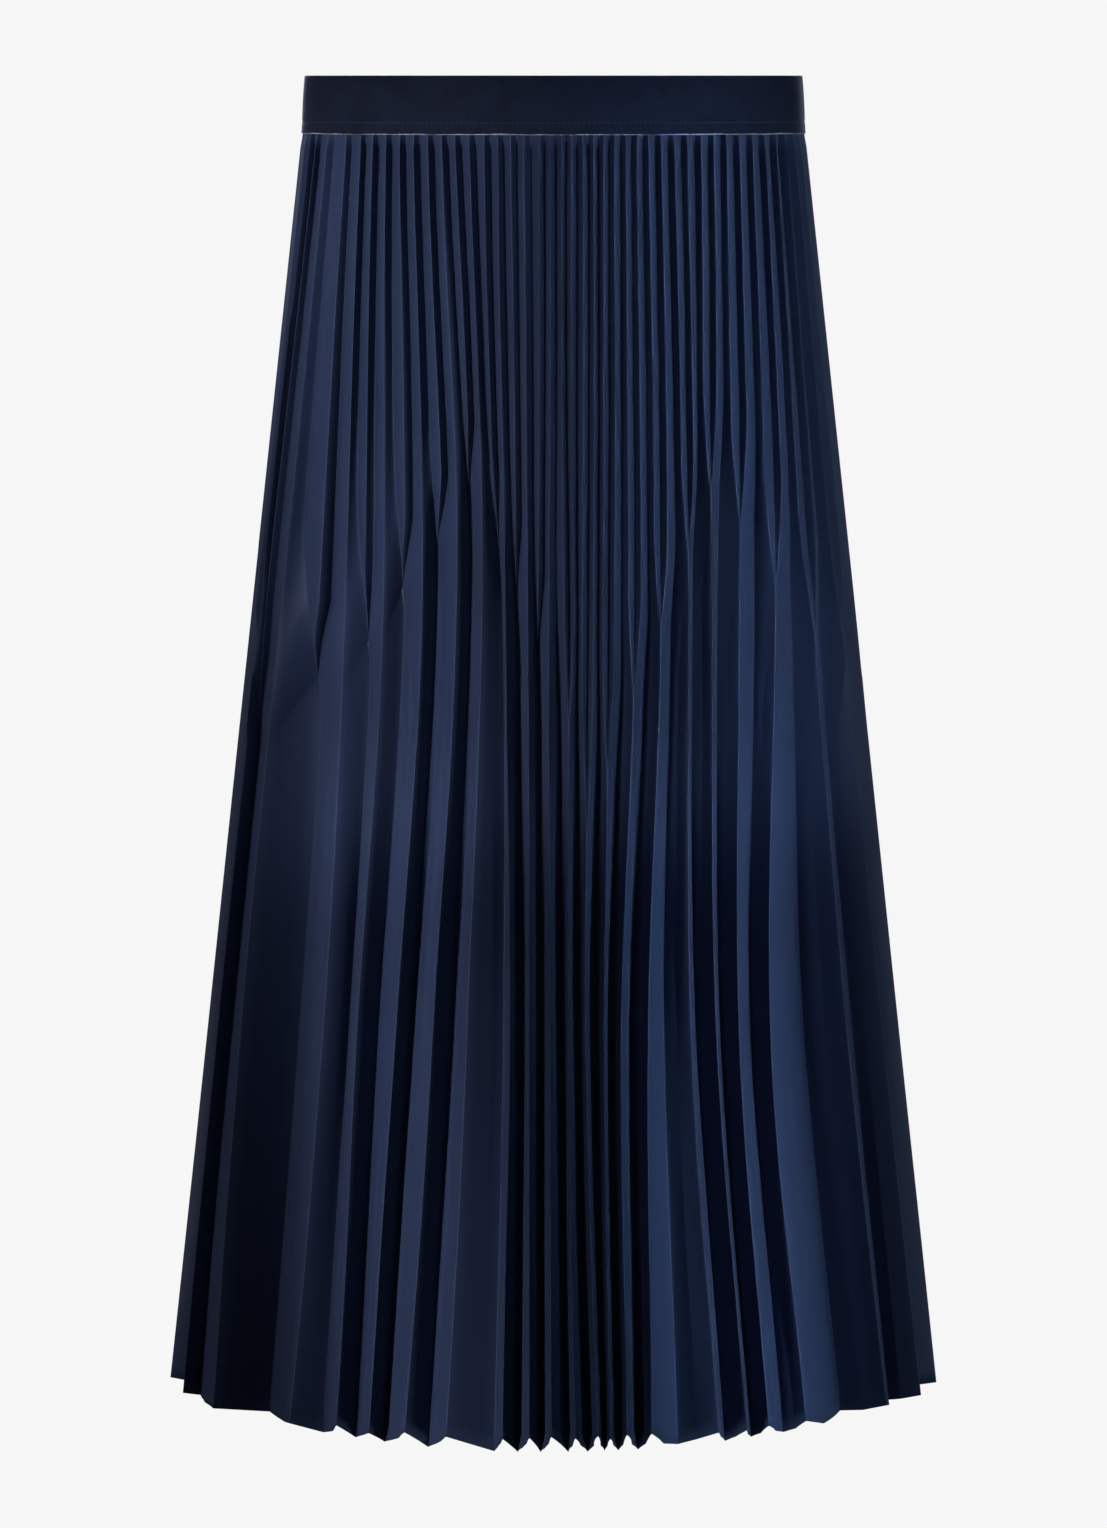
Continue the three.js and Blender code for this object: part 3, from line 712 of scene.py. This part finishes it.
def band_profile():
    half = BAND_HEIGHT / 2
    stitch = -half + STITCH_UP
    heights = [-half + 0.7, -half + 2, -half + 4, stitch - 1.2, stitch - 0.5, stitch]
    heights += [stitch + 0.5, stitch + 1.2, stitch + 3, 0, 4, 8, 11, 13, 14.4, half - 0.6]
    profile = []
    for z in heights:
        groove = GROOVE_DEPTH * math.exp(-(((z - stitch) / GROOVE_HALF_WIDTH) ** 2))
        around = (z - (stitch + half) / 2) / (half - stitch) * math.pi
        belly = -BAND_BELLY * math.cos(around)
        profile.append((groove + (belly if z > stitch else 0), z))
    profile += [(0.25, half - 0.15), (1, half), (BAND_WALL - 0.25, half - 0.15)]
    profile += [(BAND_WALL, half - 0.6), (BAND_WALL, 8), (BAND_WALL, 0), (BAND_WALL, -8)]
    profile += [(BAND_WALL, -half + 0.6), (BAND_WALL - 0.25, -half + 0.15), (1, -half)]
    profile += [(0.3, -half + 0.15)]
    return profile


def waistband():
    share = np.arange(BAND_STATIONS) / BAND_STATIONS
    grid = band_ring(band_profile(), share)
    ripple = ripples(share, BAND_RIPPLES)
    lower = np.clip(0.5 - grid[..., 2] / BAND_HEIGHT, 0, 1)
    grid[..., 2] -= np.maximum(ripple[:, None] * lower, RIPPLE_LEAST) * RIPPLE_SHARE
    return ring_mesh("waistband_velvet", grid)


def edge_line():
    """The pale woven edge under the velvet: a flat cord of uneven height."""
    share = np.arange(EDGE_STATIONS) / EDGE_STATIONS
    least, usual, most = EDGE_HEIGHTS
    tall = np.clip(usual + ripples(share, EDGE_RIPPLES), least, most)
    low = -BAND_HEIGHT / 2 - EDGE_LOW
    # inset from the band's face, share of the height
    profile = [(0.5, 0), (-0.05, 0.1), (-0.2, 0.5), (-0.05, 0.9), (0.5, 1)]
    grid = np.empty((EDGE_STATIONS, len(profile), 3))
    point, normal = band_face(angle_at(share), -BAND_HEIGHT / 2)
    for j, (inset, up) in enumerate(profile):
        grid[:, j, :2] = point - normal * inset
        grid[:, j, 2] = low + up * tall
    return ring_mesh("waistband_edge", grid)


def stitches():
    """The topstitching, a small sunken stitch every few millimetres."""
    z = -BAND_HEIGHT / 2 + STITCH_UP
    steps, sides = STITCH_STEPS, STITCH_SIDES
    verts, polygons = [], []
    length = STITCH_LENGTH / WAIST_ROUND
    swell = np.sqrt(1 - (np.linspace(-1, 1, steps) * 0.98) ** 2)
    for s in np.arange(STITCH_COUNT) / STITCH_COUNT:
        at = s + length * np.linspace(-0.5, 0.5, steps)
        point, normal = band_face(angle_at(at), z)
        first = len(verts)
        for k in range(steps):
            radius = STITCH_RADIUS * swell[k]
            sunk = STITCH_SUNK - STITCH_RISE * swell[k]
            for j in range(sides):
                turn = 2 * math.pi * j / sides
                plan = point[k] + normal[k] * (radius * math.cos(turn) - sunk)
                verts.append((plan[0], plan[1], z + radius * math.sin(turn)))
        for k in range(steps - 1):
            for j in range(sides):
                a = first + k * sides + j
                b = first + k * sides + (j + 1) % sides
                polygons.append([a, b, b + sides, a + sides])
        polygons.append([first + j for j in range(sides)][::-1])
        last = first + (steps - 1) * sides
        polygons.append([last + j for j in range(sides)])
    return add_mesh("waistband_stitches", np.array(verts), polygons)


# ---- materials --------------------------------------------------------------------------------


class Nodes:
    """A short way to write a node tree."""

    def __init__(self, name):
        self.material = bpy.data.materials.new(name)
        self.material.use_nodes = True
        self.tree = self.material.node_tree
        self.shader = self.tree.nodes["Principled BSDF"]

    def node(self, kind, inputs=None, **settings):
        node = self.tree.nodes.new(kind)
        for key, value in settings.items():
            setattr(node, key, value)
        for key, value in (inputs or {}).items():
            self.put(node.inputs[key], value)
        return node

    def put(self, socket, value):
        if isinstance(value, bpy.types.NodeSocket):
            self.tree.links.new(value, socket)
        else:
            socket.default_value = value

    def math(self, operation, a, b=0.0):
        return self.node("ShaderNodeMath", {0: a, 1: b}, operation=operation).outputs[0]

    def mix(self, factor, a, b):
        node = self.node("ShaderNodeMix", data_type="RGBA")
        self.put(node.inputs[0], factor)
        self.put(node.inputs[6], a)
        self.put(node.inputs[7], b)
        return node.outputs[2]

    def ramp(self, factor, low, high):
        node = self.node("ShaderNodeMapRange", {0: factor, 1: low, 2: high})
        return node.outputs[0]

    def noise(self, vector, scale, detail=2.0, roughness=0.5):
        inputs = {"Vector": vector, "Scale": scale, "Detail": detail, "Roughness": roughness}
        return self.node("ShaderNodeTexNoise", inputs).outputs[0]


TWILL_PITCH = 0.0013
THREAD_PITCH = 0.0011
DOT_PITCH = 0.0021
TWO_PI = 2 * math.pi
SATIN_DARK = (0.0115, 0.0235, 0.068, 1)
SATIN_LIGHT = (0.0155, 0.031, 0.088, 1)
TWILL_LIGHT = (0.03, 0.045, 0.105, 1)
# Painted highlight colours for the crest creases and for the dots in the valleys.
CREST_HIGHLIGHT = (0.06, 0.085, 0.16, 1)
DOT_HIGHLIGHT = (0.08, 0.105, 0.19, 1)
VELVET_DARK = (0.0034, 0.0062, 0.0165, 1)
VELVET_LIGHT = (0.0066, 0.0112, 0.0285, 1)


def satin():
    """Navy twill with a painted highlight along its crests and painted highlight dots in the +X
    side's valleys.
    """
    n = Nodes("navy_satin")
    uv = n.node("ShaderNodeUVMap", uv_map="cloth").outputs[0]
    place = n.node("ShaderNodeTexCoord").outputs["Object"]
    split = n.node("ShaderNodeSeparateXYZ", {0: uv})
    across, down = split.outputs[0], split.outputs[1]
    twill_way = n.math("ADD", n.math("MULTIPLY", across, 0.55), n.math("MULTIPLY", down, 0.84))
    rib = n.math("SINE", n.math("MULTIPLY", twill_way, TWO_PI / TWILL_PITCH))
    cross = n.math("SINE", n.math("MULTIPLY", across, TWO_PI / THREAD_PITCH))
    weave = n.math("ADD", n.math("MULTIPLY", rib, 0.7), n.math("MULTIPLY", cross, 0.3))
    grain = n.noise(place, 1400.0, 2.0, 0.6)
    mottle = n.noise(place, 22.0, 3.0, 0.6)
    crest = n.node("ShaderNodeAttribute", attribute_name="crest").outputs["Fac"]
    base = n.mix(mottle, SATIN_DARK, SATIN_LIGHT)
    base = n.mix(n.ramp(weave, -1.0, 1.0), base, n.mix(0.5, base, TWILL_LIGHT))
    # side marks the +X half, where the painted highlights are stronger because the light falls
    # there.
    side = n.ramp(n.node("ShaderNodeSeparateXYZ", {0: place}).outputs[0], 0.02, 0.06)
    # Painted highlight along the crest creases, where the fold catches the light, broken up by
    # noise.
    line = n.ramp(crest, 0.8, 0.97)
    crest_highlight = n.math("MULTIPLY", line, n.ramp(n.noise(uv, 120.0, 3.0), 0.3, 0.7))
    amount = n.math("ADD", 0.35, n.math("MULTIPLY", side, 0.45))
    base = n.mix(n.math("MULTIPLY", crest_highlight, amount), base, CREST_HIGHLIGHT)
    # Painted highlight dots along the valley creases of the +X half, where the twill ribs catch
    # the light at the fold.
    valley = n.node("ShaderNodeAttribute", attribute_name="valley").outputs["Fac"]
    dots = n.math("SINE", n.math("MULTIPLY", down, TWO_PI / DOT_PITCH))
    some = n.ramp(n.noise(place, 16.0, 0.0), 0.5, 0.56)
    dot_highlight = n.math("MULTIPLY", n.ramp(valley, 0.84, 0.94), n.ramp(dots, 0.1, 0.6))
    dot_highlight = n.math("MULTIPLY", dot_highlight, n.math("MULTIPLY", some, side))
    base = n.mix(n.math("MULTIPLY", dot_highlight, 0.7), base, DOT_HIGHLIGHT)
    n.put(n.shader.inputs["Base Color"], base)
    rough = n.node("ShaderNodeMapRange", {0: mottle, 1: 0.3, 2: 0.7, 3: 0.58, 4: 0.68})
    n.put(n.shader.inputs["Roughness"], rough.outputs[0])
    n.shader.inputs["Specular IOR Level"].default_value = 0.22
    n.shader.inputs["Sheen Weight"].default_value = 0.04
    n.shader.inputs["Sheen Roughness"].default_value = 0.4
    n.shader.inputs["Sheen Tint"].default_value = (0.55, 0.65, 0.95, 1)
    height = n.math("ADD", n.math("MULTIPLY", weave, 0.5), n.math("MULTIPLY", grain, 0.5))
    bump = n.node(
        "ShaderNodeBump", {"Height": height, "Strength": 0.22, "Distance": 0.0002}
    )
    n.put(n.shader.inputs["Normal"], bump.outputs[0])
    return n.material


def velvet():
    n = Nodes("navy_velvet")
    place = n.node("ShaderNodeTexCoord").outputs["Object"]
    mottle = n.noise(place, 90.0, 4.0, 0.65)
    nap = n.noise(place, 1500.0, 2.0, 0.6)
    mix = n.math("ADD", n.math("MULTIPLY", mottle, 0.6), n.math("MULTIPLY", nap, 0.4))
    base = n.mix(n.ramp(mix, 0.35, 0.65), VELVET_DARK, VELVET_LIGHT)
    n.put(n.shader.inputs["Base Color"], base)
    n.shader.inputs["Roughness"].default_value = 0.95
    n.shader.inputs["Specular IOR Level"].default_value = 0.1
    n.shader.inputs["Sheen Weight"].default_value = 0.25
    n.shader.inputs["Sheen Roughness"].default_value = 0.35
    n.shader.inputs["Sheen Tint"].default_value = (0.4, 0.5, 0.8, 1)
    bump = n.node("ShaderNodeBump", {"Height": mix, "Strength": 0.5, "Distance": 0.0004})
    n.put(n.shader.inputs["Normal"], bump.outputs[0])
    return n.material


def thread(name, dark, light, rough):
    n = Nodes(name)
    place = n.node("ShaderNodeTexCoord").outputs["Object"]
    fibre = n.noise(place, 900.0, 3.0, 0.6)
    n.put(n.shader.inputs["Base Color"], n.mix(n.ramp(fibre, 0.35, 0.65), dark, light))
    n.shader.inputs["Roughness"].default_value = rough
    bump = n.node("ShaderNodeBump", {"Height": fibre, "Strength": 0.4, "Distance": 0.0002})
    n.put(n.shader.inputs["Normal"], bump.outputs[0])
    return n.material


# ---- the pieces -------------------------------------------------------------------------------

SATIN = satin()
front_cloth = Panel(front_pleats(), LEFT_SEAM, RIGHT_SEAM)
back_cloth = Panel(back_pleats(), RIGHT_SEAM, WHOLE_ROUND)
front = panel_mesh("front_panel", front_cloth, -SEAM_GAP / 2)
back = panel_mesh("back_panel", back_cloth, SEAM_GAP / 2)
for panel_object in (front, back):
    panel_object.data.materials.append(SATIN)
band = waistband()
band.data.materials.append(velvet())
edge = edge_line()
edge.data.materials.append(
    thread("edge_yarn", (0.1, 0.11, 0.17, 1), (0.3, 0.3, 0.4, 1), 0.85)
)
topstitch = stitches()
topstitch.data.materials.append(
    thread("navy_thread", (0.006, 0.011, 0.035, 1), (0.016, 0.026, 0.07, 1), 0.6)
)

for piece in (front, back, band, edge, topstitch):
    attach(piece, "root")
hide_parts("skirt_front")
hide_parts("skirt_back")
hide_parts("waistband")

# ---- the studio -------------------------------------------------------------------------------

LENS = 125.4
CAMERA_PLACE = (0, -3.0, 0.0165)  # at the height of the band's top
CAMERA_TILT = 7.38  # degrees below level
MIDDLE = (0, 0, -0.36)
PAPER = (0.924, 0.924, 0.924, 1)
AMBIENT = 0.05
FLOOR_SIZE, FLOOR_Z = 60, -1.9

# Narrow beams, like gridded softboxes, keep the pleats' two faces apart in tone.
BEAM, WASH = 2.5, 6  # spreads in degrees
LEFT_STRIP, RIGHT_STRIP, LOW_STRIP = (0.17, 0.42), (0.13, 0.42), (0.12, 0.42)
FAR_STRIP, REAR_STRIP = (0.1, 1.2), (0.5, 1.4)
WARM, COOL = (1.0, 0.9, 0.82), (0.85, 0.95, 1.0)
# name, place, aim, size, power, colour, spread in degrees, roll in degrees
LIGHTS = [
    ("left_top", (-1.25, -2.8, -0.1), (-0.04, 0, -0.19), LEFT_STRIP, 0.28, WARM, BEAM, 6),
    ("left_low", (-1.75, -2.5, -0.45), (0.0, 0, -0.59), LOW_STRIP, 0.18, WARM, BEAM, 6),
    ("right_top", (1.3, -2.8, -0.1), (0.045, 0, -0.19), RIGHT_STRIP, 0.21, COOL, BEAM, 3),
    ("right_low", (1.75, -2.5, -0.45), (0.025, 0, -0.59), LOW_STRIP, 0.2, COOL, BEAM, 3),
    ("far_left", (-3.0, -1.4, -0.2), (-0.2, 0, -0.4), FAR_STRIP, 0.25, (1.0, 0.93, 0.87), WASH, 0),
    ("far_right", (3.0, -1.4, -0.2), (0.2, 0, -0.4), FAR_STRIP, 0.22, (0.9, 0.97, 1.0), WASH, 0),
    ("fill", (0, -2.2, 0.35), (0, -0.1, 0.0), (0.4, 0.3), 0.25, (1.0, 0.97, 0.95), 42, 0),
    ("rear_left", (-0.8, 3.0, 0.6), MIDDLE, REAR_STRIP, 30, (1.0, 0.97, 0.94), 120, 0),
    ("rear_right", (1.2, 2.7, 0.2), MIDDLE, REAR_STRIP, 14, (0.9, 0.95, 1.0), 120, 0),
]

scene = bpy.context.scene
scene.view_settings.view_transform = "Standard"

camera = bpy.data.objects.new("camera", bpy.data.cameras.new("camera"))
camera.data.lens = LENS
camera.data.sensor_width = 36
camera.data.sensor_fit = "AUTO"
camera.location = CAMERA_PLACE
camera.rotation_euler = (math.radians(90 - CAMERA_TILT), 0, 0)
scene.collection.objects.link(camera)
scene.camera = camera


def softbox(name, place, aim, size, power, colour, spread, roll):
    light = bpy.data.lights.new(name, "AREA")
    light.spread = math.radians(spread)
    light.shape = "RECTANGLE"
    light.size, light.size_y = size
    light.energy = power
    light.color = colour
    obj = bpy.data.objects.new(name, light)
    obj.location = place
    turn = (Vector(aim) - Vector(place)).to_track_quat("-Z", "Y")
    obj.rotation_euler = (turn @ Quaternion((0, 0, 1), math.radians(roll))).to_euler()
    scene.collection.objects.link(obj)


for row in LIGHTS:
    softbox(*row)

world = bpy.data.worlds.new("studio")
world.use_nodes = True
scene.world = world
sky = world.node_tree.nodes
background = sky["Background"]
background.inputs["Color"].default_value = PAPER
ray = sky.new("ShaderNodeLightPath")
strength = sky.new("ShaderNodeMapRange")
strength.inputs[3].default_value = AMBIENT
strength.inputs[4].default_value = 1.0
world.node_tree.links.new(ray.outputs["Is Camera Ray"], strength.inputs[0])
world.node_tree.links.new(strength.outputs[0], background.inputs["Strength"])

bpy.ops.mesh.primitive_plane_add(size=FLOOR_SIZE, location=(0, 0, FLOOR_Z))
floor = bpy.context.object
floor.name = "floor"
paper = Nodes("studio_floor")
paper.put(paper.shader.inputs["Base Color"], (0, 0, 0, 1))
paper.shader.inputs["Specular IOR Level"].default_value = 0
paper.put(paper.shader.inputs["Emission Color"], PAPER)
paper.shader.inputs["Emission Strength"].default_value = 1.0
floor.data.materials.append(paper.material)
floor.visible_diffuse = False
floor.visible_glossy = False
